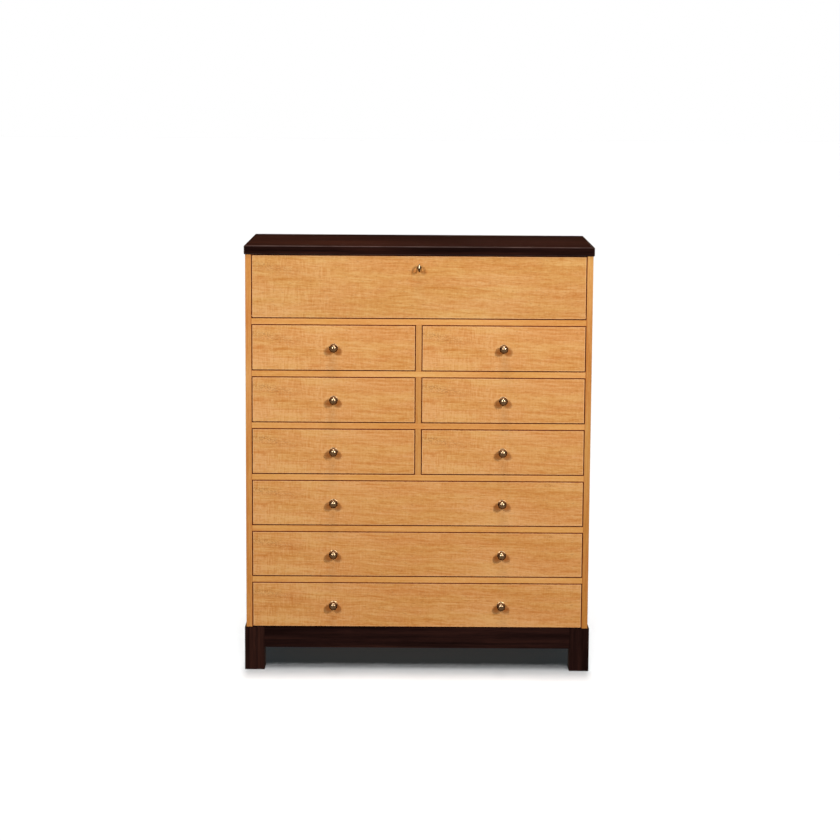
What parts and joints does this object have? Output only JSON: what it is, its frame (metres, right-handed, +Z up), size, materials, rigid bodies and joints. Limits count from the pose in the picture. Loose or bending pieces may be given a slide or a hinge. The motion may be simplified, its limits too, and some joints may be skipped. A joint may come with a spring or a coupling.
{
  "type": "chest on chest",
  "caption": "Tall chest of drawers: a locking fall-front compartment over half-width and full-width drawers with round knobs, on a square-legged plinth.",
  "frame": {"origin": "on the floor, under the middle of the whole piece with its knobs", "axes": "+Z up, front towards -Y, +X to the right as seen from the front"},
  "size_m": [1.11, 0.567, 1.37],
  "materials": {
    "honey_wood": "satin lacquer over figured honey-coloured veneer",
    "dark_wood": "satin espresso stain",
    "inside_wood": "plain sealed wood",
    "brass": "aged"
  },
  "bodies": {
    "root": {"top_slab": "dark_wood", "side_panel_left": "honey_wood", "side_panel_right": "honey_wood", "back_panel": "inside_wood", "case_bottom": "inside_wood", "compartment_floor": "honey_wood", "front_rails": "honey_wood", "runner_frames": "inside_wood", "drawer_dividers": "honey_wood", "drawer_stops": "inside_wood", "top_cleats": "inside_wood", "plinth_legs": "dark_wood", "plinth_aprons": "dark_wood", "hinge_side_plates": "brass", "stay_guides": "brass", "strike_plate": "brass"},
    "fall": {"fall_front": "honey_wood", "hinge_flap_plates": "brass", "quadrant_stays": "brass", "lock_case": "brass", "escutcheon": "brass"},
    "key": {"key": "brass"},
    "lock_bolt": {"lock_bolt": "brass"},
    "drawer_1_left": {"drawer_1_left_front": "honey_wood", "drawer_1_left_box": "inside_wood", "drawer_1_left_bottom": "inside_wood", "drawer_1_left_knob": "brass"},
    "drawer_1_right": {"drawer_1_right_front": "honey_wood", "drawer_1_right_box": "inside_wood", "drawer_1_right_bottom": "inside_wood", "drawer_1_right_knob": "brass"},
    "drawer_2_left": {"drawer_2_left_front": "honey_wood", "drawer_2_left_box": "inside_wood", "drawer_2_left_bottom": "inside_wood", "drawer_2_left_knob": "brass"},
    "drawer_2_right": {"drawer_2_right_front": "honey_wood", "drawer_2_right_box": "inside_wood", "drawer_2_right_bottom": "inside_wood", "drawer_2_right_knob": "brass"},
    "drawer_3_left": {"drawer_3_left_front": "honey_wood", "drawer_3_left_box": "inside_wood", "drawer_3_left_bottom": "inside_wood", "drawer_3_left_knob": "brass"},
    "drawer_3_right": {"drawer_3_right_front": "honey_wood", "drawer_3_right_box": "inside_wood", "drawer_3_right_bottom": "inside_wood", "drawer_3_right_knob": "brass"},
    "drawer_4": {"drawer_4_front": "honey_wood", "drawer_4_box": "inside_wood", "drawer_4_bottom": "inside_wood", "drawer_4_knobs": "brass"},
    "drawer_5": {"drawer_5_front": "honey_wood", "drawer_5_box": "inside_wood", "drawer_5_bottom": "inside_wood", "drawer_5_knobs": "brass"},
    "drawer_6": {"drawer_6_front": "honey_wood", "drawer_6_box": "inside_wood", "drawer_6_bottom": "inside_wood", "drawer_6_knobs": "brass"}
  },
  "joints": [
    {"name": "fall_hinge", "type": "hinge", "parent": "root", "child": "fall", "pos_m": [0, -0.248, 1.1478], "axis": [1, 0, 0], "range_deg": [0, 90]},
    {"name": "key_turn", "type": "hinge", "parent": "fall", "child": "key", "pos_m": [0, -0.2515, 1.303], "axis": [0, -1, 0], "range_deg": [-180, 0]},
    {"name": "bolt_throw", "type": "slide", "parent": "fall", "child": "lock_bolt", "axis": [0, 0, 1], "range_m": [0, 0.007]},
    {"name": "drawer_1_left_slide", "type": "slide", "parent": "root", "child": "drawer_1_left", "axis": [0, -1, 0], "range_m": [0, 0.38]},
    {"name": "drawer_1_right_slide", "type": "slide", "parent": "root", "child": "drawer_1_right", "axis": [0, -1, 0], "range_m": [0, 0.38]},
    {"name": "drawer_2_left_slide", "type": "slide", "parent": "root", "child": "drawer_2_left", "axis": [0, -1, 0], "range_m": [0, 0.38]},
    {"name": "drawer_2_right_slide", "type": "slide", "parent": "root", "child": "drawer_2_right", "axis": [0, -1, 0], "range_m": [0, 0.38]},
    {"name": "drawer_3_left_slide", "type": "slide", "parent": "root", "child": "drawer_3_left", "axis": [0, -1, 0], "range_m": [0, 0.38]},
    {"name": "drawer_3_right_slide", "type": "slide", "parent": "root", "child": "drawer_3_right", "axis": [0, -1, 0], "range_m": [0, 0.38]},
    {"name": "drawer_4_slide", "type": "slide", "parent": "root", "child": "drawer_4", "axis": [0, -1, 0], "range_m": [0, 0.38]},
    {"name": "drawer_5_slide", "type": "slide", "parent": "root", "child": "drawer_5", "axis": [0, -1, 0], "range_m": [0, 0.38]},
    {"name": "drawer_6_slide", "type": "slide", "parent": "root", "child": "drawer_6", "axis": [0, -1, 0], "range_m": [0, 0.38]}
  ],
  "couplings": [
    {"joint": "key_turn", "follows": "bolt_throw", "rad_per_m": -448.8}
  ]
}
